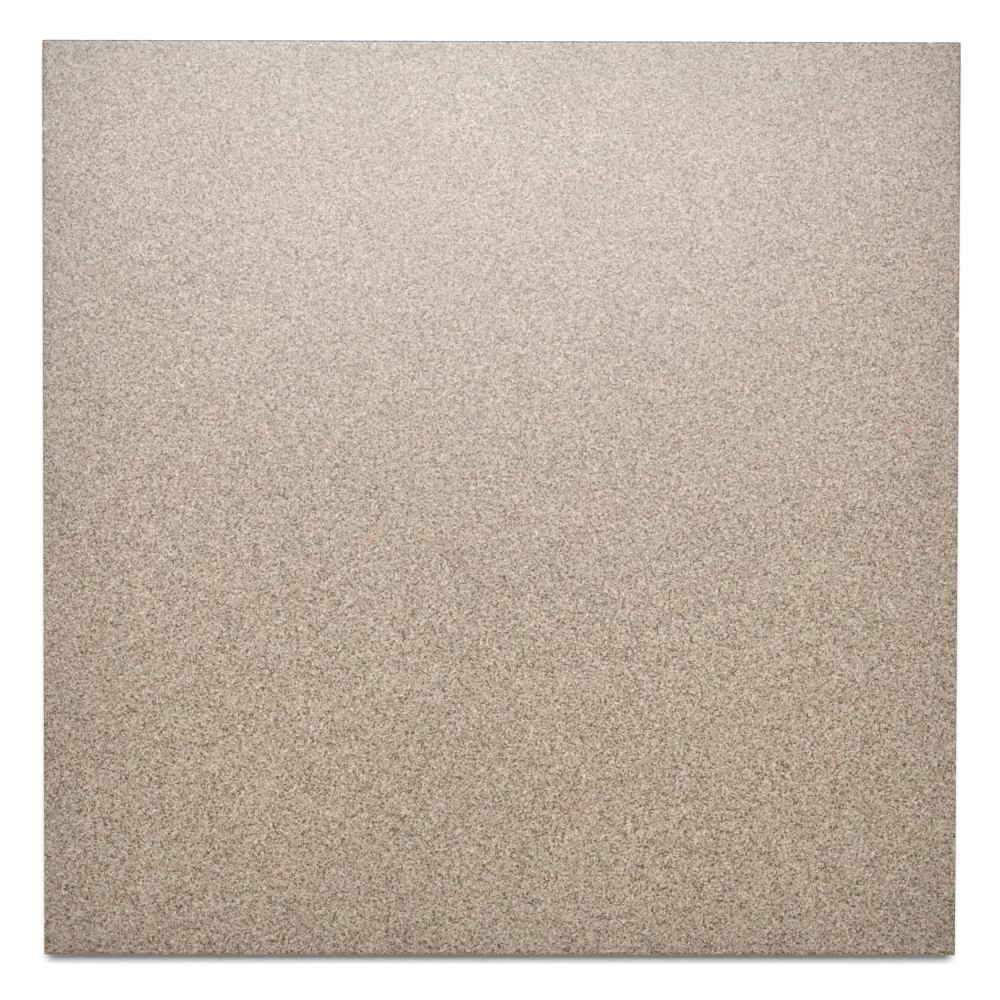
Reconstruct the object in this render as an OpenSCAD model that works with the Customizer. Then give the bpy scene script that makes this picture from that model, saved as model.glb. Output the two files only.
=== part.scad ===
// Granite slab for leather stamping and tooling: one block of stone with eased
// edges, standing on four stick-on rubber feet. Millimetres, +Z up. The origin
// is at the centre of the footprint, on the plane that the feet stand on.

/* [Slab] */
// Width of the stone, along X
slab_w = 304.8; // [150:0.1:460]
// Depth of the stone, along Y
slab_d = 304.8; // [150:0.1:460]
// Thickness of the stone
slab_t = 31.75; // [18:0.05:52]
// Radius of the eased edge round the working face
top_edge_r = 0.8; // [0.4:0.1:5]
// Radius of the eased edge round the underside
base_edge_r = 1; // [0.4:0.1:5]
// Radius of the upright corners
corner_r = 0.6; // [0.4:0.1:10]

/* [Feet] */
// Diameter of a foot where it meets the tape
foot_d = 19; // [14:0.5:26]
// Height of a foot
foot_h = 4; // [2.5:0.1:8]
// Distance from the slab's edges to the middle of a foot
foot_inset = 30; // [20:1:60]
// Amount by which a foot narrows towards the bench, on each side
foot_draft = 0.7; // [0:0.1:1.5]
// Radius of the rounded rim at the bottom of a foot
foot_rim = 0.8; // [0.3:0.1:1.2]
// Width of the flat ring that a foot stands on
foot_ring = 3; // [1:0.5:3]
// Depth of the dished hollow under a foot
dish_depth = 0.5; // [0.2:0.1:1]

/* [Tape] */
// Thickness of the foam tape between a foot and the stone
tape_t = 0.5; // [0.2:0.1:1.2]
// Amount by which the tape stays inside the edge of the foot
tape_margin = 0.6; // [0.2:0.1:2]

/* [Hidden] */
// Corners of the slab, counted from the front left one, as signs of X and Y
CORNERS = [[-1, -1], [1, -1], [1, 1], [-1, 1]];
CORNER_NAMES = ["front_left", "front_right", "back_right", "back_left"];
FOOT_NAMES = [for (c = CORNER_NAMES) str("foot_", c)];
TAPE_NAMES = [for (c = CORNER_NAMES) str("foot_tape_", c)];

foot_r = foot_d / 2;
base_r = foot_r - foot_draft;       // outside of a foot at its rounded rim
flat_r = base_r - foot_rim;         // outside of the ring that touches the bench
dish_r = flat_r - foot_ring;
// The dish is a cap of this sphere
dish_sphere_r = (dish_r * dish_r + dish_depth * dish_depth) / (2 * dish_depth);
tape_z = foot_h;                    // underside of the tape
slab_z = foot_h + tape_t;           // underside of the stone
over = 1;                           // how far a cutting prism runs past the stone
round_fn = 96;

STONE = "#bfae9d";
RUBBER = "#2b2b2c";
TAPE = "#d9d8d2";

// Half of an eased outline, standing on its flat side, with round corners at the top
module eased_half(width, height, r) {
    translate([-width / 2, 0])
        square([width, height - r]);
    translate([-width / 2 + r, 0])
        square([width - 2 * r, height]);
    for (side = [-1, 1])
        translate([side * (width / 2 - r), height - r])
            circle(r = r, $fn = round_fn);
}

// Outline centred on the origin, with its own corner radius at the bottom and top
module eased_outline(width, height, bottom_r, top_r) {
    eased_half(width, height / 2, top_r);
    mirror([0, 1])
        eased_half(width, height / 2, bottom_r);
}

// Prism of the stone's outline as it is seen along Y, centred on the origin
module eased_prism(width, length) {
    rotate([90, 0, 0])
        linear_extrude(height = length, center = true)
            eased_outline(width, slab_t, base_edge_r, top_edge_r);
}

// The stone: the outlines seen from the front and from the side cut each other,
// which eases the edges of both faces, and the plan outline rounds the corners
module slab() {
    color(STONE)
        translate([0, 0, slab_z + slab_t / 2])
            intersection() {
                eased_prism(slab_w, slab_d + 2 * over);
                rotate([0, 0, 90])
                    eased_prism(slab_d, slab_w + 2 * over);
                linear_extrude(height = slab_t + 2 * over, center = true)
                    eased_outline(slab_w, slab_d, corner_r, corner_r);
            }
}

// Moves its children to a corner's foot, given that corner's signs
module at_foot(corner) {
    translate([
        corner[0] * (slab_w / 2 - foot_inset),
        corner[1] * (slab_d / 2 - foot_inset),
        0
    ])
        children();
}

// Half section of a foot: flat top, drafted wall, and a rim rounded into the base
module foot_section() {
    polygon([
        [0, 0],
        [flat_r, 0],
        [flat_r, foot_rim],
        [base_r, foot_rim],
        [foot_r, foot_h],
        [0, foot_h],
    ]);
    translate([flat_r, foot_rim])
        circle(r = foot_rim, $fn = round_fn);
}

// Moulded rubber foot, with a shallow dish under it that grips the bench
module foot(corner) {
    color(RUBBER)
        at_foot(corner)
            difference() {
                rotate_extrude($fn = round_fn)
                    foot_section();
                translate([0, 0, dish_depth - dish_sphere_r])
                    sphere(r = dish_sphere_r, $fn = round_fn);
            }
}

// Disc of double-sided foam tape that bonds a foot to the stone
module foot_tape(corner) {
    color(TAPE)
        at_foot(corner)
            translate([0, 0, tape_z])
                cylinder(r = foot_r - tape_margin, h = tape_t, $fn = round_fn);
}

slab();
for (i = [0 : len(CORNERS) - 1]) {
    foot(CORNERS[i]);
    foot_tape(CORNERS[i]);
}
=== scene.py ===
import math
import random

import bpy
import numpy as np
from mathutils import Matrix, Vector, noise
from mathutils.geometry import delaunay_2d_cdt


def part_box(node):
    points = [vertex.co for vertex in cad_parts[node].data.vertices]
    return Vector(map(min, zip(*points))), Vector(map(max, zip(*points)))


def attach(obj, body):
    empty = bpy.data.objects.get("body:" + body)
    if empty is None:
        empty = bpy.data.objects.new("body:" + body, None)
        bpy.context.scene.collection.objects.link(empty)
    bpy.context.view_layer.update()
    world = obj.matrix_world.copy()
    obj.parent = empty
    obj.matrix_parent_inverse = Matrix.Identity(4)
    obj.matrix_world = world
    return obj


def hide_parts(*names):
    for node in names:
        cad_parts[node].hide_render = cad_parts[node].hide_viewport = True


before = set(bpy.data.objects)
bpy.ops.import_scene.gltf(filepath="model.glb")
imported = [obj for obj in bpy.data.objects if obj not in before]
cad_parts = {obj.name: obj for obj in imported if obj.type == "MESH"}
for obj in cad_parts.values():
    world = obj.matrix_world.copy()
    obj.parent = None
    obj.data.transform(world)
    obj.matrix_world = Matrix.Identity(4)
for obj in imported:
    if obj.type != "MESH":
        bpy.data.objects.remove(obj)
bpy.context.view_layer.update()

MM = 0.001                       # every length below is in millimetres until it meets a mesh

# The stone, from its CAD node
slab_low, slab_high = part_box("slab")
HALF_X = slab_high.x / MM
HALF_Y = slab_high.y / MM
BASE_Z = slab_low.z / MM
TOP_Z = slab_high.z / MM

CORNER_R = 0.6                   # upright corners
LEAST_CORNER_R = 0.3             # the corners of the rows further in
TOP_R = (1.3, 0.6, 0.6, 0.6)     # eased edge of the face on each side; the front one is worn rounder
BASE_R = 1.0                     # eased edge round the underside
CORNER_COLUMNS = 7               # columns of the mesh in each corner's quarter turn
COLUMN_STEP = 1.3                # widest gap between columns
CHIP_COLUMNS = 11                # columns across one chip
CHIP_SPREAD = 0.62               # how far they reach to each side, as a share of its width
MIN_COLUMN_GAP = 0.07
DIAGONAL = math.sqrt(0.5)        # sine and cosine of 45 degrees, the lean of an edge's middle

LATHE_TURNS = 112
SLAB_SHARP, LATHE_SHARP = 32, 40  # degrees over which two faces meet in a sharp edge

random.seed(20)


# ---------------------------------------------------------------- mesh helpers

def make_object(name, points, faces, materials, face_slots, sharp_angle):
    """A mesh object from points in millimetres, riding on the root body."""
    mesh = bpy.data.meshes.new(name)
    mesh.from_pydata([tuple(p * MM for p in q) for q in points], [], faces)
    for material in materials:
        mesh.materials.append(material)
    mesh.polygons.foreach_set("material_index", face_slots)
    mesh.polygons.foreach_set("use_smooth", [True] * len(mesh.polygons))
    mesh.update()
    mesh.set_sharp_from_angle(angle=math.radians(sharp_angle))
    obj = bpy.data.objects.new(name, mesh)
    bpy.context.scene.collection.objects.link(obj)
    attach(obj, "root")
    return obj


def ripple(where, fineness=1.0):
    """Smooth noise about 0.5, mostly from 0 to 1."""
    return 0.5 + 0.5 * noise.noise(where * fineness)


def lathe(name, profile, centre, material, wobble=0.0):
    """A closed solid of revolution about the upright axis through centre. The profile runs from the axis at
    the bottom to the axis at the top, and its radii and heights are in millimetres."""
    points, faces = [], []
    ring_starts = []
    for radius, height in profile:
        ring_starts.append(len(points))
        if radius == 0:
            points.append((centre[0], centre[1], height))
            continue
        for k in range(LATHE_TURNS):
            angle = 2 * math.pi * k / LATHE_TURNS
            direction = Vector((math.cos(angle), math.sin(angle), 0))
            # The wobble comes from a walk round a small circle in the noise, and fades near the axis
            walk = direction * 2.2 + Vector((centre[0], centre[1], height * 2))
            r = radius - wobble * ripple(walk) * min(1, radius / 6)
            points.append((centre[0] + r * direction.x, centre[1] + r * direction.y, height))
    for i in range(len(profile) - 1):
        a, b = ring_starts[i], ring_starts[i + 1]
        for k in range(LATHE_TURNS):
            n = (k + 1) % LATHE_TURNS
            if profile[i][0] == 0:
                faces.append((a, b + n, b + k))
            elif profile[i + 1][0] == 0:
                faces.append((a + k, a + n, b))
            else:
                faces.append((a + k, a + n, b + n, b + k))
    return make_object(name, points, faces, [material], [0] * len(faces), LATHE_SHARP)


def arc(centre, radius, start, end, steps):
    """Points of an arc in a profile, from start to end in degrees."""
    return [
        (centre[0] + radius * math.cos(math.radians(start + (end - start) * i / steps)),
         centre[1] + radius * math.sin(math.radians(start + (end - start) * i / steps)))
        for i in range(steps + 1)
    ]


# ---------------------------------------------------------------- node helpers

class Tree:
    """Adds nodes to one node tree. A value is a socket, a number or a tuple."""

    def __init__(self, tree):
        self.tree = tree

    def node(self, kind, **settings):
        made = self.tree.nodes.new(kind)
        for key, value in settings.items():
            setattr(made, key, value)
        return made

    def put(self, socket, value):
        if isinstance(value, bpy.types.NodeSocket):
            self.tree.links.new(value, socket)
        elif value is not None:
            socket.default_value = value

    def math(self, operation, a, b=None):
        made = self.node("ShaderNodeMath", operation=operation)
        self.put(made.inputs[0], a)
        self.put(made.inputs[1], b)
        return made.outputs[0]

    def vector(self, operation, a, b=None, scale=None):
        made = self.node("ShaderNodeVectorMath", operation=operation)
        self.put(made.inputs[0], a)
        self.put(made.inputs[1], b)
        if scale is not None:
            self.put(made.inputs["Scale"], scale)
        return made.outputs[0]

    def mix(self, factor, a, b, blend="MIX"):
        made = self.node("ShaderNodeMix", data_type="RGBA", blend_type=blend)
        self.put(made.inputs[0], factor)
        self.put(made.inputs[6], a)
        self.put(made.inputs[7], b)
        return made.outputs[2]

    def span(self, value, low, high, to_low=0.0, to_high=1.0):
        """A number that eases from to_low to to_high while value goes from low to high."""
        made = self.node("ShaderNodeMapRange", interpolation_type="SMOOTHSTEP")
        for socket, number in zip(made.inputs, (value, low, high, to_low, to_high)):
            self.put(socket, number)
        return made.outputs[0]

    def noise(self, coords, size, detail=2.0, roughness=0.5, colour=False):
        """Noise whose features are about size millimetres across."""
        made = self.node("ShaderNodeTexNoise")
        self.put(made.inputs["Vector"], coords)
        made.inputs["Scale"].default_value = 1 / size
        made.inputs["Detail"].default_value = detail
        made.inputs["Roughness"].default_value = roughness
        return made.outputs["Color" if colour else "Fac"]

    def cells(self, coords, size, feature="F1"):
        """Voronoi cells about size millimetres across."""
        made = self.node("ShaderNodeTexVoronoi", feature=feature)
        self.put(made.inputs["Vector"], coords)
        made.inputs["Scale"].default_value = 1 / size
        return made

    def ramp(self, factor, stops):
        made = self.node("ShaderNodeValToRGB")
        ramp = made.color_ramp
        while len(ramp.elements) < len(stops):
            ramp.elements.new(0.5)
        for element, (position, colour) in zip(ramp.elements, stops):
            element.position = position
            element.color = (*colour, 1)
        self.put(made.inputs[0], factor)
        return made.outputs[0]

    def curve(self, value, points):
        """A number that follows straight lines between the points."""
        low, high = min(y for _, y in points), max(y for _, y in points)
        made = self.ramp(value, [(x, ((y - low) / (high - low),) * 3) for x, y in points])
        return self.math("ADD", self.math("MULTIPLY", made, high - low), low)

    def split(self, socket):
        """Red, green and blue of a colour."""
        made = self.node("ShaderNodeSeparateColor")
        self.put(made.inputs[0], socket)
        return made.outputs

    def axes(self, coords):
        """x, y and z of a vector."""
        made = self.node("ShaderNodeSeparateXYZ")
        self.put(made.inputs[0], coords)
        return made.outputs

    def place(self, x, y, z):
        made = self.node("ShaderNodeCombineXYZ")
        for socket, value in zip(made.inputs, (x, y, z)):
            self.put(socket, value)
        return made.outputs[0]


def new_material(name):
    """A material with one Principled shader; returns it with its tree and shader."""
    material = bpy.data.materials.new(name)
    material.use_nodes = True
    return material, Tree(material.node_tree), material.node_tree.nodes["Principled BSDF"]


def millimetres(t):
    """Object coordinates in millimetres."""
    coords = t.node("ShaderNodeTexCoord").outputs["Object"]
    return t.vector("SCALE", coords, scale=1 / MM)


# ---------------------------------------------------------------- stone

# The stone's colours from its darkest mineral to its palest, by tone from 0 to 1
STONE_TONES = [
    (0.00, (0.066, 0.026, 0.004)),
    (0.20, (0.145, 0.087, 0.042)),
    (0.40, (0.241, 0.173, 0.114)),
    (0.60, (0.350, 0.273, 0.206)),
    (0.80, (0.500, 0.411, 0.330)),
    (1.00, (0.640, 0.535, 0.440)),
]
# Tone of a crystal by its random number: the shares of mica, quartz, tan feldspar and pale feldspar
CRYSTAL_TONES = [
    (0.00, 0.05), (0.06, 0.12), (0.14, 0.38), (0.34, 0.52), (0.60, 0.62), (0.85, 0.70), (1.00, 0.86),
]
# What the finer crystals over them add to that
FINE_TONES = [(0.0, -0.32), (0.12, -0.12), (0.5, 0.0), (1.0, 0.13)]
CRYSTAL, FINE_CRYSTAL, SEAM_NET = 0.54, 0.36, 0.85     # sizes of the cells, in millimetres
JITTER, JITTER_REACH = 0.42, 0.40                      # size of the wobbles that bend them, and how far
THREAD_DARKER = 0.30             # what the dark threads take from the tone
DRIFT, BLOTCH, CLOUD = 6.5, 3.4, 60.0                  # sizes of the tints, in millimetres
DRIFT_STRENGTH, BLOTCH_STRENGTH = 1.2, 0.95
PINKER = (0.105, -0.06, -0.02)   # how a tint changes red, green and blue
BLUER = (0.0, 0.0, 0.14)
MIDDLE = (0.5, 0.5, 0.5)         # the mean of a random colour
RUST = (0.42, 0.19, 0.07, 1)
RUST_SPACING, RUST_SHARE = 15.0, 0.10

# Colours that are mixed over the stone, and the share that each can have
# Painted sheen: the pale grey veil mixed over the face towards its back, with its least and greatest share
SHEEN_VEIL, SHEEN_VEIL_LEAST, SHEEN_VEIL_MOST = (0.42, 0.385, 0.35, 1), 0.24, 0.30
FRESH_BREAK, BREAK_SHARE = (0.66, 0.59, 0.51, 1), 0.60
STONE_DUST, DUST_SHARE = (0.52, 0.46, 0.39, 1), 0.34
SAWN_TINT, SAWN_SHARE = (0.42, 0.36, 0.30, 1), 0.16

CHIPPED = "chipped"              # vertex attribute: 1 where a chip has been broken out
FALLOFF_SHADE_DEPTH = 0.19             # painted shade: share of its brightness that the colour at the very edge of the face loses, for light that falls off towards the edges
FALLOFF_SHADE_FADE = math.exp(-1 / 18)  # what is left of that one millimetre further in
EDGE_SHADE = 0.08                # painted shade: share of its colour's brightness that an eased edge loses
FRONT_EDGE_SHADE = 0.26               # painted shade that the front one, which faces away from the key light, loses besides
FRONT_BAND = 3.0                 # width of the band along the front that counts as its front edge
EDGE_LOW, EDGE_HIGH = 0.8, 0.05  # depths under the face where that painted shade is full, and where it ends
BLADE_R = 200.0                  # the round saw blade that cut the sides
BLADE_RISE = 172.0               # height of its axle over the underside


def granite(t, coords):
    """Colour of the fine-grained stone; also the random channels of its crystals."""
    jitter = t.vector("SUBTRACT", t.noise(coords, JITTER, 1.0, colour=True), MIDDLE)
    bent = t.vector("ADD", coords, t.vector("SCALE", jitter, scale=JITTER_REACH))
    kind = t.split(t.cells(bent, CRYSTAL).outputs["Color"])
    fine = t.split(t.cells(bent, FINE_CRYSTAL).outputs["Color"])
    tone = t.math("ADD", t.curve(kind[0], CRYSTAL_TONES), t.curve(fine[1], FINE_TONES))

    # Broken dark threads where crystals meet
    seams = t.cells(bent, SEAM_NET, feature="DISTANCE_TO_EDGE").outputs["Distance"]
    thread = t.span(seams, 0.03, 0.15, 1.0, 0.0)
    patchy = t.span(t.noise(coords, 0.8, 1.0), 0.50, 0.60)
    darker = t.math("MULTIPLY", t.math("MULTIPLY", thread, patchy), THREAD_DARKER)
    tone = t.math("SUBTRACT", tone, darker)
    colour = t.ramp(tone, STONE_TONES)

    # Tints: broad drifts, and single soft blotches where one larger crystal shows through
    drift = t.axes(t.vector("SUBTRACT", t.noise(coords, DRIFT, 2.0, colour=True), MIDDLE))
    blotches = t.cells(coords, BLOTCH)
    soft = t.span(blotches.outputs["Distance"], 0.10, 0.58, 1.0, 0.0)
    spot = t.vector("SUBTRACT", blotches.outputs["Color"], MIDDLE)
    spot = t.axes(t.vector("SCALE", spot, scale=soft))
    tint = (1, 1, 1)
    for (pink, _, blue), strength in ((drift, DRIFT_STRENGTH), (spot, BLOTCH_STRENGTH)):
        tint = t.vector("ADD", t.vector("SCALE", PINKER, scale=t.math("MULTIPLY", pink, strength)), tint)
        tint = t.vector("ADD", t.vector("SCALE", BLUER, scale=t.math("MULTIPLY", blue, strength)), tint)
    colour = t.vector("MULTIPLY", colour, tint)
    clouds = t.ramp(t.noise(coords, CLOUD, 2.0), [(0.30, (0.975,) * 3), (0.70, (1.025,) * 3)])
    colour = t.mix(1.0, colour, clouds, "MULTIPLY")

    # A rare grain that has rusted
    flecks = t.cells(coords, RUST_SPACING)
    chosen = t.math("LESS_THAN", t.split(flecks.outputs["Color"])[0], RUST_SHARE)
    near = t.span(flecks.outputs["Distance"], 0.035, 0.075, 0.55, 0.0)
    return t.mix(t.math("MULTIPLY", chosen, near), colour, RUST), kind


def link_surface(t, shader, colour, roughness, height, strength, distance):
    """Links a surface's colour, roughness and bump. A height of 1 is distance millimetres high."""
    t.put(shader.inputs["Base Color"], colour)
    t.put(shader.inputs["Roughness"], roughness)
    bump = t.node("ShaderNodeBump")
    bump.inputs["Strength"].default_value = strength
    bump.inputs["Distance"].default_value = distance * MM
    t.put(bump.inputs["Height"], height)
    t.put(shader.inputs["Normal"], bump.outputs[0])


def broken(t, colour):
    """The colour, paler where a chip has broken fresh stone open."""
    chipped = t.node("ShaderNodeAttribute", attribute_name=CHIPPED).outputs["Fac"]
    return t.mix(t.math("MULTIPLY", chipped, BREAK_SHARE), colour, FRESH_BREAK)


def painted_falloff_shade(t, coords):
    """How much of its brightness the face's colour keeps: painted shade, a little darker towards the face's
    edges and on its eased edges, most of all on the front one.
    """
    x, y, z = t.axes(t.vector("ABSOLUTE", coords))
    by_side = t.math("POWER", FALLOFF_SHADE_FADE, t.math("SUBTRACT", HALF_X, x))
    by_end = t.math("POWER", FALLOFF_SHADE_FADE, t.math("SUBTRACT", HALF_Y, y))
    uneven = t.span(t.noise(coords, 28.0, 2.0), 0.3, 0.7, 0.8, 1.2)
    grime_and_painted_shade = t.math("MULTIPLY", t.math("ADD", by_side, by_end), uneven)
    kept = t.math("SUBTRACT", 1.0, t.math("MULTIPLY", grime_and_painted_shade, FALLOFF_SHADE_DEPTH))
    # Painted shade on the eased edges, darkest along the front one, which faces away from the key light
    front = t.math("LESS_THAN", t.axes(coords)[1], FRONT_BAND - HALF_Y)
    painted_edge_shade = t.math("ADD", EDGE_SHADE, t.math("MULTIPLY", front, FRONT_EDGE_SHADE))
    edge = t.math("MULTIPLY", t.span(z, TOP_Z - EDGE_LOW, TOP_Z - EDGE_HIGH, 1.0, 0.0), painted_edge_shade)
    return t.math("MULTIPLY", kept, t.math("SUBTRACT", 1.0, edge))


def honed_stone():
    """The working face: flat, satin, with crystals that took the polish a little differently."""
    material, t, shader = new_material("granite_honed")
    coords = millimetres(t)
    colour, kind = granite(t, coords)
    # Painted sheen: a pale grey veil over the colour, towards the back and the middle, where the sheen
    # light's reflection falls
    x, y, _ = t.axes(coords)
    inward = t.span(t.math("ABSOLUTE", x), 60.0, HALF_X, 1.0, 0.55)
    painted_sheen = t.math("MULTIPLY", t.span(y, -100.0, 130.0), inward)
    painted_sheen = t.math("MULTIPLY", painted_sheen, t.span(t.noise(coords, 50.0, 2.0), 0.3, 0.7, SHEEN_VEIL_LEAST, SHEEN_VEIL_MOST))
    colour = t.mix(painted_sheen, colour, SHEEN_VEIL)
    # Painted shade: the colour darkens towards the face's edges and on its eased edges
    colour = broken(t, t.vector("SCALE", colour, scale=painted_falloff_shade(t, coords)))
    wear = t.noise(coords, 45.0, 3.0)
    roughness = t.math("ADD", t.math("MULTIPLY", kind[1], 0.06), t.span(wear, 0.3, 0.7, 0.39, 0.43))
    height = t.math("ADD", t.math("MULTIPLY", kind[2], 0.5), t.noise(coords, 0.35, 2.0))
    link_surface(t, shader, colour, roughness, height, strength=0.12, distance=0.02)
    return material


def sawn_stone(name, marks):
    """A sawn side or the underside: paler and duller than the face, with the blade's marks in it."""
    material, t, shader = new_material(name)
    coords = millimetres(t)
    colour, kind = granite(t, coords)
    colour = t.mix(SAWN_SHARE, colour, SAWN_TINT)
    lines, steps = marks(t, coords)
    colour = t.mix(t.math("MULTIPLY", lines, DUST_SHARE), colour, STONE_DUST)
    stain = t.span(t.noise(coords, 26.0, 3.0, 0.6), 0.30, 0.72, 0.90, 1.07)
    stain = t.math("MULTIPLY", stain, t.span(steps, 0.25, 0.75, 0.90, 1.06))
    colour = broken(t, t.vector("SCALE", colour, scale=stain))
    roughness = t.math("ADD", t.math("MULTIPLY", kind[1], 0.12), t.span(steps, 0.2, 0.8, 0.60, 0.72))
    height = t.math("ADD", t.math("MULTIPLY", kind[2], 0.5), t.noise(coords, 0.4, 3.0, 0.6))
    height = t.math("ADD", height, t.math("MULTIPLY", lines, 0.9))
    height = t.math("ADD", height, t.math("MULTIPLY", steps, 2.2))
    link_surface(t, shader, colour, roughness, height, strength=0.7, distance=0.09)
    return material


def saw_marks(t, coords, phase, level):
    """(fine lines, broader steps) across the travel of a blade, whose phase runs in millimetres."""
    level = t.math("MULTIPLY", level, 0.02)
    lines = t.noise(t.place(phase, level, 0.0), 0.9, 2.0, 0.6)
    steps = t.noise(t.place(phase, level, 7.0), 5.5, 2.0, 0.55)
    patchy = t.span(t.noise(coords, 16.0, 2.0), 0.34, 0.62, 0.35, 1.0)
    return t.math("MULTIPLY", t.span(lines, 0.46, 0.70), patchy), steps


def blade_arcs(t, coords):
    """Marks of a round blade that travelled along the side: arcs that lean over."""
    x, y, z = t.axes(coords)
    drop = t.math("SUBTRACT", BASE_Z + BLADE_RISE, z)
    chord = t.math("SQRT", t.math("SUBTRACT", BLADE_R ** 2, t.math("MULTIPLY", drop, drop)))
    return saw_marks(t, coords, t.math("SUBTRACT", t.math("ADD", x, y), chord), z)


def gang_saw(t, coords):
    """Marks of a reciprocating blade: nearly straight and shallow, across the underside."""
    x, y, _ = t.axes(coords)
    wander = t.math("MULTIPLY", t.noise(coords, 60.0, 1.0), 5.0)
    phase = t.math("ADD", t.math("ADD", y, t.math("MULTIPLY", x, 0.05)), wander)
    return saw_marks(t, coords, phase, x)


# ---------------------------------------------------------------- the slab's mesh

CHIP_GRAIN = 2.7                 # how fine the roughness of a scoop is
CHIP_SHRINK, CHIP_ROUGH = 0.03, 0.10   # how much smaller it makes the scoop, and how much that varies


class Chip:
    """A scoop out of an edge: an ellipsoid that is longer along the edge."""

    def __init__(self, where, along, inward, width, depth, stretch):
        self.along = np.array(along)
        self.inward = np.array(inward)
        self.stretch = stretch
        half = width / stretch / 2
        self.radius = (half * half + depth * depth) / (2 * depth)
        self.centre = np.array(where) - self.inward * (self.radius - depth)

    def cut(self, points):
        """Moves the points that are inside the scoop, and returns their numbers."""
        local = points - self.centre
        run = local @ self.along
        local = local + np.outer(run * (1 / self.stretch - 1), self.along)
        near = np.nonzero((local ** 2).sum(1) < self.radius ** 2)[0]
        moved = []
        for i in near:
            rough = 1 + CHIP_ROUGH * noise.noise(Vector(points[i]) * CHIP_GRAIN)
            radius = self.radius * (1 - CHIP_SHRINK * rough)
            reach = local[i] @ self.inward
            inside = reach * reach - local[i] @ local[i] + radius * radius
            if inside > 0:
                points[i] += self.inward * max(0.0, math.sqrt(inside) - reach)
                moved.append(i)
        return moved


# Each side of the slab as its outward direction; a column's along runs anticlockwise
SIDES = [((0, -1), (1, 0)), ((1, 0), (0, 1)), ((0, 1), (-1, 0)), ((-1, 0), (0, -1))]


def half_sizes(side):
    """(distance from the middle to this side, half the length of this side)."""
    return (HALF_Y, HALF_X) if side % 2 == 0 else (HALF_X, HALF_Y)


# Chips on each side: which edge, how many, and their least and greatest width
CHIP_LOTS = (("top", 21, 0.5, 1.5), ("top", 3, 1.5, 2.6), ("base", 14, 1.4, 4.6))
CHIP_DEPTHS = (0.12, 0.24)       # least and greatest depth, as a share of the width
CHIP_STRETCHES = (1.0, 1.6)      # how much longer than wide the scoops are
CHIP_END = 3                     # chips keep this far from the corners
BASE_CHIP_DEEPER = 1.6
CHIP_TILT = 0.25                 # how much steeper or flatter than 45 degrees a chip at the top can be


def choose_chips():
    """Chips along the edges, as (side, place along it, top or base, width, depth, stretch)."""
    chosen = []
    for side in range(4):
        reach = half_sizes(side)[1] - CHIP_END
        for kind, count, low, high in CHIP_LOTS:
            for _ in range(count):
                width = low + (high - low) * random.random() ** 2
                deeper = BASE_CHIP_DEEPER if kind == "base" else 1.0
                depth = width * random.uniform(*CHIP_DEPTHS) * deeper
                place, stretch = random.uniform(-reach, reach), random.uniform(*CHIP_STRETCHES)
                chosen.append((side, place, kind, width, depth, stretch))
    return chosen


def column_places(side, chips):
    """Places along one side where the mesh has a column: close together at the chips."""
    end = half_sizes(side)[1] - CORNER_R
    steps = math.ceil(2 * end / COLUMN_STEP)
    places = [-end + 2 * end * i / steps for i in range(steps + 1)]
    for chip_side, place, _, width, _, _ in chips:
        if chip_side == side:
            spread = width * CHIP_SPREAD
            places += [place + spread * (2 * i / (CHIP_COLUMNS - 1) - 1) for i in range(CHIP_COLUMNS)]
    places = sorted(p for p in places if -end <= p <= end)
    kept = [places[0]]
    for p in places[1:]:
        if p - kept[-1] >= MIN_COLUMN_GAP:
            kept.append(p)
    kept[-1] = end
    return kept


TOP_TURNS, BASE_TURNS = 8, 6     # steps of the mesh round the two eased edges
# How far the other rows are from the wall, or under the face
FACE_INSETS = (4.8, 3.6, 2.7, 2.0, 1.5)
WALL_DROPS = (1.5, 2.1, 3.2, 4.6, 6.8, 9.5, 12.5, 15.5, 18.5, 21.5, 24.2, 26.4, 28.4, 29.6, 30.3)
BASE_INSETS = (1.4, 2.0, 3.0, 4.8)

# Rows of the mesh from the face, round the top edge, down the wall and round the base edge to the underside
ROWS = [("face", inset) for inset in FACE_INSETS]
ROWS += [("edge", 90 * i / TOP_TURNS) for i in range(TOP_TURNS + 1)]
ROWS += [("wall", drop) for drop in WALL_DROPS]
ROWS += [("heel", 90 * i / BASE_TURNS) for i in range(BASE_TURNS + 1)]
ROWS += [("base", inset) for inset in BASE_INSETS]
LAST_EDGE = len(FACE_INSETS) + TOP_TURNS
LAST_HEEL = len(ROWS) - len(BASE_INSETS) - 1


def row_place(row, top_r):
    """(inset from the wall, height) of a row where the top edge has this radius."""
    part, value = row
    if part == "face":
        return value, TOP_Z
    if part == "edge":
        turn = math.radians(value)
        return top_r * (1 - math.sin(turn)), TOP_Z - top_r * (1 - math.cos(turn))
    if part == "wall":
        return 0.0, TOP_Z - value
    if part == "heel":
        turn = math.radians(value)
        return BASE_R * (1 - math.cos(turn)), BASE_Z + BASE_R * (1 - math.sin(turn))
    return value, BASE_Z


def top_radius(side, corner_turn):
    """Radius of the top edge at a column, which changes smoothly round the corners."""
    if corner_turn is None:
        return TOP_R[side]
    return TOP_R[side] + (TOP_R[(side + 1) % 4] - TOP_R[side]) * corner_turn / 90


def wall_point(side, place, corner_turn, inset):
    """Plan position of a column at an inset from the wall. corner_turn is None on a straight stretch, else
    how far round the corner after this side, in degrees."""
    (ox, oy), (ax, ay) = SIDES[side]
    wall, half = half_sizes(side)
    radius = max(CORNER_R - inset, LEAST_CORNER_R)
    if corner_turn is None:
        along = place * (half - inset - radius) / (half - CORNER_R)
        out = wall - inset
    else:
        turn = math.radians(corner_turn)
        along = half - inset - radius + radius * math.sin(turn)
        out = wall - inset - radius + radius * math.cos(turn)
    return ox * out + ax * along, oy * out + ay * along


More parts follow.
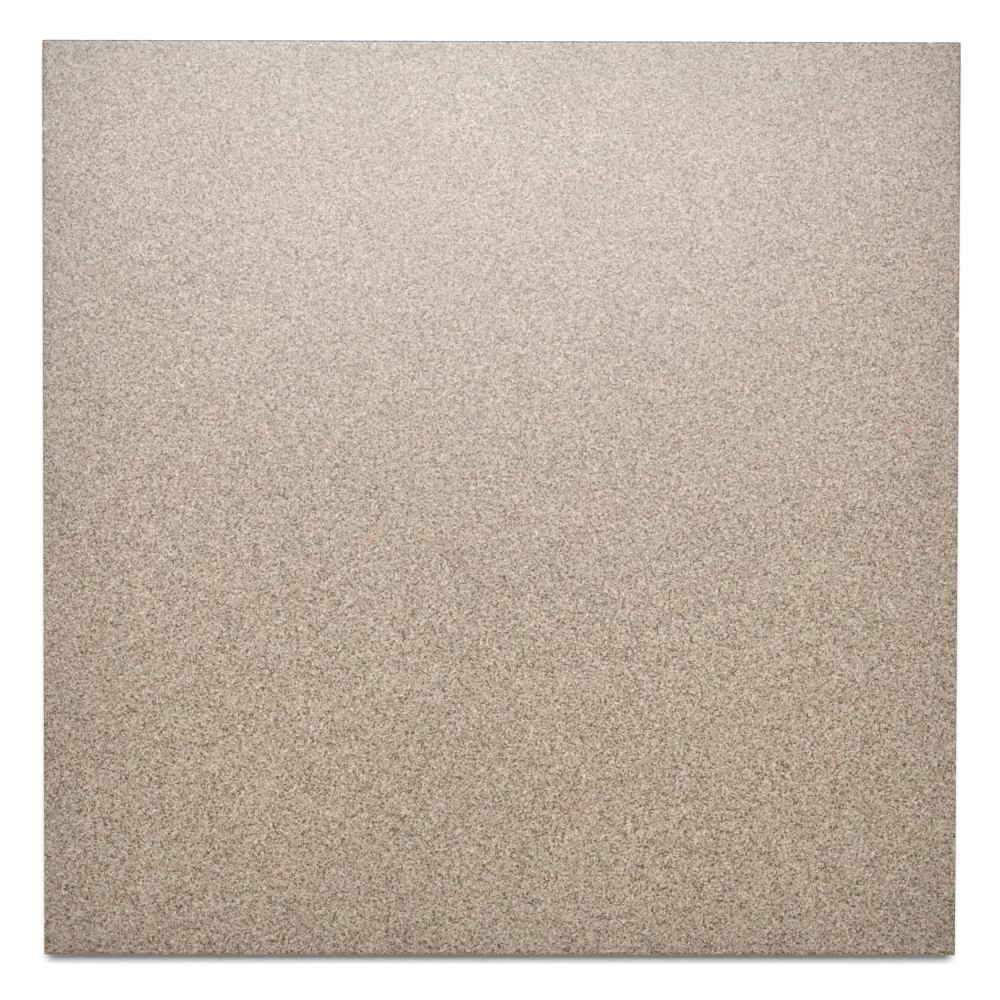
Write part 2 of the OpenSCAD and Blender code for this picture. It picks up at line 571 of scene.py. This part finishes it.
# Spacing of the points in a cap: at its rim, at its widest, how fast it grows, and from square to square
CAP_STEP, CAP_WIDEST_STEP, CAP_GROWTH, CAP_SQUEEZE = 2.0, 22, 1.5, 0.9
CAP_MIDDLE = 15                  # the points stop this far from the middle


def cap_points():
    """Points inside a cap, on squares whose spacing grows towards the middle."""
    inner = []
    step = CAP_STEP
    inset = FACE_INSETS[0] + step
    while inset < min(HALF_X, HALF_Y) - CAP_MIDDLE:
        hx, hy = HALF_X - inset, HALF_Y - inset
        # Each side of the square as its start, its direction and its length
        for start, (dx, dy), length in (((-hx, -hy), (1, 0), 2 * hx), ((hx, -hy), (0, 1), 2 * hy),
                                        ((hx, hy), (-1, 0), 2 * hx), ((-hx, hy), (0, -1), 2 * hy)):
            count = max(2, round(length / step))
            for i in range(count):
                s = length * (i + 0.25) / count
                inner.append(Vector((start[0] + dx * s, start[1] + dy * s)))
        inset += step * CAP_SQUEEZE
        step = min(step * CAP_GROWTH, CAP_WIDEST_STEP)
    return inner


def fill_cap(ring, height, points, down):
    """Faces that close a flat face inside its innermost ring, with triangles that grow towards the middle."""
    rim = [Vector((points[i][0], points[i][1])) for i in ring]
    n = len(rim)
    edges = [(i, (i + 1) % n) for i in range(n)]
    found, _, triangles, _, _, _ = delaunay_2d_cdt(rim + cap_points(), edges, [], 1, 1e-6)
    index = list(ring) + [None] * (len(found) - n)
    for k in range(n, len(found)):
        index[k] = len(points)
        points.append((found[k].x, found[k].y, height))
    faces = []
    for triangle in triangles:
        face = [index[k] for k in triangle]
        faces.append(tuple(reversed(face)) if down else tuple(face))
    return faces


EDGE_WANDER = 0.06               # about how deep the eased edge wanders
WALL_DIP, WALL_RIPPLE = 0.05, 0.02     # deepest broad and close unevenness of the walls
WALL_FADE = 3                    # length over which that sets in, under the eased edge


def roughen(points, columns):
    """Small unevenness of the worked stone, always inwards: the eased edge wanders and the walls dip."""
    n = len(columns)
    for i, (part, value) in enumerate(ROWS):
        for k, (side, _, corner_turn) in enumerate(columns):
            where = Vector(points[i * n + k])
            (ox, oy), _ = SIDES[side]
            if part == "edge" and 0 < value < 90:
                sway = ripple(where, 0.11) + 0.35 * noise.noise(where * 0.9)
                depth = EDGE_WANDER * max(0.0, sway) * math.sin(math.radians(2 * value))
                points[i * n + k] -= np.array((ox, oy, 1)) * depth * DIAGONAL
            elif part == "wall" and corner_turn is None:
                fade = min(1.0, (value - WALL_DROPS[0]) / WALL_FADE)
                depth = WALL_DIP * ripple(where, 0.06) + WALL_RIPPLE * ripple(where, 0.5)
                points[i * n + k] -= np.array((ox, oy, 0)) * depth * fade


def cut_chips(points, chips):
    """Breaks the chips out of the points, and returns the numbers of the points that moved."""
    chipped = set()
    for side, place, kind, width, depth, stretch in chips:
        (ox, oy), (ax, ay) = SIDES[side]
        wall = half_sizes(side)[0]
        tilt = random.uniform(-CHIP_TILT, CHIP_TILT)
        if kind == "top":
            drop = TOP_R[side] * (1 - DIAGONAL)
            z = TOP_Z - drop
            inward = Vector((-ox * DIAGONAL, -oy * DIAGONAL, -DIAGONAL))
            inward += Vector((0, 0, tilt * -DIAGONAL))
        else:
            drop = BASE_R * (1 - DIAGONAL)
            z = BASE_Z + drop
            inward = Vector((-ox * DIAGONAL, -oy * DIAGONAL, DIAGONAL))
        inward.normalize()
        where = (ox * (wall - drop) + ax * place, oy * (wall - drop) + ay * place, z)
        chipped.update(Chip(where, (ax, ay, 0), tuple(inward), width, depth, stretch).cut(points))
    return chipped


# Honed face and edge, sawn sides, sawn underside
MATERIAL_SLOT = {"face": 0, "edge": 0, "wall": 1, "heel": 1, "base": 2}


def build_slab():
    """The stone as one closed mesh, with its map for baking and its chips marked."""
    chips = choose_chips()
    columns = []                 # (side, place along it, turn round the corner after it)
    for side in range(4):
        for place in column_places(side, chips):
            columns.append((side, place, None))
        for i in range(1, CORNER_COLUMNS):
            columns.append((side, None, 90 * i / CORNER_COLUMNS))
    n = len(columns)
    points = []
    for row in ROWS:
        for side, place, corner_turn in columns:
            inset, height = row_place(row, top_radius(side, corner_turn))
            points.append((*wall_point(side, place, corner_turn, inset), height))
    points = np.array(points)
    roughen(points, columns)
    chipped = cut_chips(points, chips)

    faces, slots = [], []
    for i in range(len(ROWS) - 1):
        for k in range(n):
            m = (k + 1) % n
            faces.append((i * n + k, (i + 1) * n + k, (i + 1) * n + m, i * n + m))
            slots.append(MATERIAL_SLOT[ROWS[i + 1][0]])
    points = [tuple(p) for p in points]
    top = fill_cap(range(n), TOP_Z, points, down=False)
    base = fill_cap(range((len(ROWS) - 1) * n, len(ROWS) * n), BASE_Z, points, down=True)
    faces += top + base
    slots += [MATERIAL_SLOT["face"]] * len(top) + [MATERIAL_SLOT["base"]] * len(base)

    materials = [honed_stone(), sawn_stone("granite_sawn_side", blade_arcs),
                 sawn_stone("granite_sawn_base", gang_saw)]
    slab = make_object("stone_slab", points, faces, materials, slots, SLAB_SHARP)
    lay_out_uv(slab, columns)
    attribute = slab.data.attributes.new(CHIPPED, "FLOAT", "POINT")
    attribute.data.foreach_set("value", [float(i in chipped) for i in range(len(points))])
    return slab


# Places in the baked map. The working face has most of it, so that its grain stays sharp.
UV_FACE = 0.79
UV_GAP = 0.005


def row_lengths():
    """How far each row is from the first one, along the surface."""
    places = [row_place(row, TOP_R[0]) for row in ROWS]
    lengths = [0.0]
    for (inset, height), (last_inset, last_height) in zip(places[1:], places):
        lengths.append(lengths[-1] + math.hypot(inset - last_inset, height - last_height))
    return lengths


def lay_out_uv(slab, columns):
    """Unwraps the slab: the face and its eased edge, a strip for each wall, and the underside."""
    mesh = slab.data
    layer = mesh.uv_layers.new(name="OFBake")
    n = len(columns)
    lengths = row_lengths()
    spread = lengths[LAST_EDGE] - FACE_INSETS[0]     # how far the rolled-out edge passes the wall
    reach = max(HALF_X, HALF_Y) + spread
    face_scale = UV_FACE / (2 * reach)
    lane = (lengths[LAST_HEEL] - lengths[LAST_EDGE]) * face_scale + 2 * UV_GAP
    base_corner = UV_FACE + 3 * UV_GAP
    base_scale = (1 - UV_GAP - base_corner) / (2 * max(HALF_X, HALF_Y))

    def on_face(vertex):
        """Plan position, with the edge rolled out flat."""
        if vertex >= n * len(ROWS):
            return mesh.vertices[vertex].co.x / MM, mesh.vertices[vertex].co.y / MM
        i, k = divmod(vertex, n)
        side, place, corner_turn = columns[k]
        inset = FACE_INSETS[0] - lengths[i]
        x, y = wall_point(side, place, corner_turn, max(inset, 0.0))
        (ox, oy), (ax, ay) = SIDES[side]
        turn = math.radians(corner_turn or 0)
        out, along = math.cos(turn) * max(-inset, 0.0), math.sin(turn) * max(-inset, 0.0)
        return x + ox * out + ax * along, y + oy * out + ay * along

    def on_wall(vertex, side):
        """Place in the strip of one wall, which also takes the corner after it."""
        i, k = divmod(vertex, n)
        column_side, place, corner_turn = columns[k]
        half = half_sizes(side)[1]
        if corner_turn is not None:
            along = half - CORNER_R + CORNER_R * math.radians(corner_turn)
        elif column_side == side:
            along = place
        else:
            along = half - CORNER_R + CORNER_R * math.pi / 2
        u = UV_GAP + (along + half) * face_scale
        v = base_corner + (side // 2) * lane + (lengths[i] - lengths[LAST_EDGE]) * face_scale
        return (UV_FACE + 2 * UV_GAP - u, v) if side % 2 == 0 else (v, u)

    for polygon in mesh.polygons:
        for loop in polygon.loop_indices:
            vertex = mesh.loops[loop].vertex_index
            if polygon.material_index == MATERIAL_SLOT["face"]:
                x, y = on_face(vertex)
                place = UV_GAP + (x + reach) * face_scale, UV_GAP + (y + reach) * face_scale
            elif polygon.material_index == MATERIAL_SLOT["wall"]:
                place = on_wall(vertex, columns[polygon.index % n][0])
            else:
                co = mesh.vertices[vertex].co / MM
                place = (base_corner + (HALF_X - co.x) * base_scale,
                         base_corner + (co.y + HALF_Y) * base_scale)
            layer.data[loop].uv = place


slab = build_slab()
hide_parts("slab")


# ---------------------------------------------------------------- feet and tape

RUBBER_TONES = [(0.3, (0.020, 0.020, 0.021)), (0.7, (0.034, 0.033, 0.033))]
BENCH_DUST = (0.20, 0.185, 0.165, 1)
# The first foam colour is painted shade: the hollows of the cut cells, darker than their walls
FOAM_PORE_SHADE, FOAM_WALL, FOAM_GRIME = (0.46, 0.45, 0.42, 1), (0.72, 0.71, 0.67, 1), (0.33, 0.30, 0.26, 1)

DRAFT = 0.7                      # how much narrower a foot is at its sole
DRAFT_GAP = 0.02                 # what the wall leaves for the box at its top
RIM_R, SHOULDER_R = 0.8, 0.25    # rounding at the sole and at the top
RING = 3                         # width of the ring that a foot stands on
DISH_DEEP, DISH_STEPS = 0.5, 11  # the dish in the sole inside that ring
NUB_HIGH, NUB_CLEAR = 0.16, 0.9  # the mould's nub in its middle, and the radius where the dish begins
GROOVE_R = (5.95, 6.85)          # middles of the two fine grooves in the ring
GROOVE_HALF, GROOVE_DEEP = 0.16, 0.14
GROOVE_FLAT = 0.55               # share of a groove's width that is flat
SEAM_DROP, SEAM_HALF, SEAM_HIGH = 1.1, 0.12, 0.05   # the moulding seam, from the top of the foot
TAPE_WOBBLE = 0.18               # how unevenly the discs are cut


def foot_rubber():
    """Matt black moulded rubber, with dust where it has stood on a bench."""
    material, t, shader = new_material("foot_rubber")
    coords = millimetres(t)
    mottled = t.noise(coords, 2.5, 3.0)
    colour = t.ramp(mottled, RUBBER_TONES)
    low = t.span(t.axes(coords)[2], 0.05, 0.9, 1.0, 0.0)
    dust = t.math("MULTIPLY", low, t.span(t.noise(coords, 0.9, 3.0, 0.6), 0.42, 0.66))
    colour = t.mix(t.math("MULTIPLY", dust, 0.5), colour, BENCH_DUST)
    roughness = t.math("ADD", t.span(mottled, 0.3, 0.7, 0.55, 0.68), t.math("MULTIPLY", dust, 0.2))
    grain = t.cells(coords, 0.22).outputs["Distance"]
    link_surface(t, shader, colour, roughness, grain, strength=0.35, distance=0.03)
    return material


def tape_foam():
    """Closed-cell foam tape, off-white, with its cut cells showing at the edge."""
    material, t, shader = new_material("foam_tape")
    coords = millimetres(t)
    pores = t.cells(coords, 0.16).outputs["Distance"]
    # Painted shade: darker in the hollows of the cut cells, paler on their walls
    colour = t.mix(t.span(pores, 0.15, 0.55, 0.0, 1.0), FOAM_PORE_SHADE, FOAM_WALL)
    grime_and_painted_shade = t.span(t.noise(coords, 3.0, 3.0), 0.52, 0.75, 0.0, 0.35)
    colour = t.mix(grime_and_painted_shade, colour, FOAM_GRIME)
    roughness = t.span(pores, 0.1, 0.6, 0.92, 0.78)
    link_surface(t, shader, colour, roughness, pores, strength=0.5, distance=0.05)
    return material


def foot_profile(foot_r, foot_h):
    """Half section of a foot: nub, dish, grooved ring, rim, wall with its seam, shoulder and top."""
    base_r = foot_r - DRAFT
    flat_r = base_r - RIM_R
    dish_r = flat_r - RING
    ball_r = (dish_r ** 2 + DISH_DEEP ** 2) / (2 * DISH_DEEP)
    profile = [(0, DISH_DEEP - NUB_HIGH), (0.35, DISH_DEEP - NUB_HIGH), (0.62, DISH_DEEP - 0.12),
               (0.72, DISH_DEEP - 0.02)]
    for i in range(1, DISH_STEPS + 1):
        r = NUB_CLEAR + (dish_r - 0.12 - NUB_CLEAR) * i / DISH_STEPS
        profile.append((r, math.sqrt(ball_r ** 2 - r ** 2) - ball_r + DISH_DEEP))
    profile += [(dish_r + 0.04, 0.012), (dish_r + 0.16, 0.0)]
    for groove in GROOVE_R:
        profile += [(groove - GROOVE_HALF, 0.0), (groove - GROOVE_HALF * GROOVE_FLAT, GROOVE_DEEP),
                    (groove + GROOVE_HALF * GROOVE_FLAT, GROOVE_DEEP), (groove + GROOVE_HALF, 0.0)]
    profile += arc((flat_r, RIM_R), RIM_R, -90, 0, 8)

    def wall(z, bulge=0.0):
        """A point of the wall, which widens from the rim to the top."""
        return base_r + (foot_r - DRAFT_GAP - base_r) * (z - RIM_R) / (foot_h - RIM_R) + bulge, z

    seam_z = foot_h - SEAM_DROP
    profile += [wall(1.4), wall(2.1), wall(seam_z - SEAM_HALF), wall(seam_z, SEAM_HIGH),
                wall(seam_z + SEAM_HALF), wall(3.3)]
    profile += arc((foot_r - SHOULDER_R, foot_h - SHOULDER_R), SHOULDER_R, 0, 90, 5)
    return profile + [(foot_r - 1.2, foot_h), (foot_r / 2, foot_h), (0, foot_h)]


def tape_profile(tape_r, low, high):
    """Half section of a disc of tape, whose cut edge is soft and slightly ridged."""
    return [(0, low), (tape_r * 0.5, low), (tape_r - 0.5, low), (tape_r - 0.14, low),
            (tape_r - 0.03, low + 0.07), (tape_r, low + 0.18), (tape_r - 0.03, low + 0.27),
            (tape_r, high - 0.14), (tape_r - 0.03, high - 0.05),
            (tape_r - 0.14, high), (tape_r - 0.5, high), (tape_r * 0.5, high), (0, high)]


rubber = foot_rubber()
foam = tape_foam()

for corner in ("front_left", "front_right", "back_right", "back_left"):
    node = f"foot_{corner}"
    low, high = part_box(node)
    centre = ((low.x + high.x) / 2 / MM, (low.y + high.y) / 2 / MM)
    profile = foot_profile((high.x - low.x) / 2 / MM, high.z / MM)
    foot = lathe(f"rubber_foot_{corner}", profile, centre, rubber)
    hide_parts(node)

    node = f"foot_tape_{corner}"
    low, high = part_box(node)
    profile = tape_profile((high.x - low.x) / 2 / MM, low.z / MM, high.z / MM)
    tape = lathe(f"foam_disc_{corner}", profile, centre, foam, wobble=TAPE_WOBBLE)
    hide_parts(node)


# ---------------------------------------------------------------- floor, light and camera
# These are in metres.

FLOOR_HALF, FLOOR_WHITE = 4.0, 0.85
SKY_COLOUR, SKY_STRENGTH = (0.965, 1.0, 1.02, 1), 0.295
CAMERA_PLACE = (-0.0079, 0.0293, TOP_Z * MM + 1.0)
CAMERA_TURN = (-1.677, -0.428, 0.1185)   # degrees away from looking straight down
CAMERA_SENSOR, CAMERA_LENS = 36, 108.15  # in millimetres


def build_floor():
    """A white sheet that the slab stands on."""
    h = FLOOR_HALF
    mesh = bpy.data.meshes.new("floor")
    mesh.from_pydata([(-h, -h, 0), (h, -h, 0), (h, h, 0), (-h, h, 0)], [], [(0, 1, 2, 3)])
    material, _, shader = new_material("floor_white")
    shader.inputs["Base Color"].default_value = (FLOOR_WHITE, FLOOR_WHITE, FLOOR_WHITE, 1)
    shader.inputs["Roughness"].default_value = 0.9
    shader.inputs["Specular IOR Level"].default_value = 0.1
    mesh.materials.append(material)
    floor = bpy.data.objects.new("floor", mesh)
    bpy.context.scene.collection.objects.link(floor)


def softbox(name, place, target, width, depth, watts):
    """A rectangular light that faces target."""
    light = bpy.data.lights.new(name, "AREA")
    light.shape = "RECTANGLE"
    light.size, light.size_y = width, depth
    light.energy = watts
    obj = bpy.data.objects.new(name, light)
    bpy.context.scene.collection.objects.link(obj)
    obj.location = place
    obj.rotation_euler = (Vector(target) - Vector(place)).to_track_quat("-Z", "Y").to_euler()
    return obj


def light_scene():
    """The key stands almost overhead, so its shadow is short. The sheen box is behind the slab, and only its
    reflection in the honed face counts."""
    key = softbox("key_softbox", (-0.004, 0.144, 1.25), (0, 0, 0.03), width=0.16, depth=0.10, watts=17.4)
    key.visible_glossy = False
    sheen = softbox("sheen_softbox", (-0.027, 0.51, 1.47), (0, 0.1, 0.03), width=0.56, depth=0.20, watts=25.5)
    sheen.visible_diffuse = False
    world = bpy.data.worlds.new("studio")
    world.use_nodes = True
    background = world.node_tree.nodes["Background"]
    background.inputs["Color"].default_value = SKY_COLOUR
    background.inputs["Strength"].default_value = SKY_STRENGTH
    bpy.context.scene.world = world


def place_camera():
    """The photograph's view: from 1 m above the face, and very slightly from the back and the left."""
    data = bpy.data.cameras.new("camera")
    data.sensor_width = CAMERA_SENSOR
    data.lens = CAMERA_LENS
    camera = bpy.data.objects.new("camera", data)
    bpy.context.scene.collection.objects.link(camera)
    camera.location = CAMERA_PLACE
    camera.rotation_euler = tuple(math.radians(a) for a in CAMERA_TURN)
    bpy.context.scene.camera = camera


build_floor()
light_scene()
place_camera()
bpy.context.scene.view_settings.view_transform = "Standard"
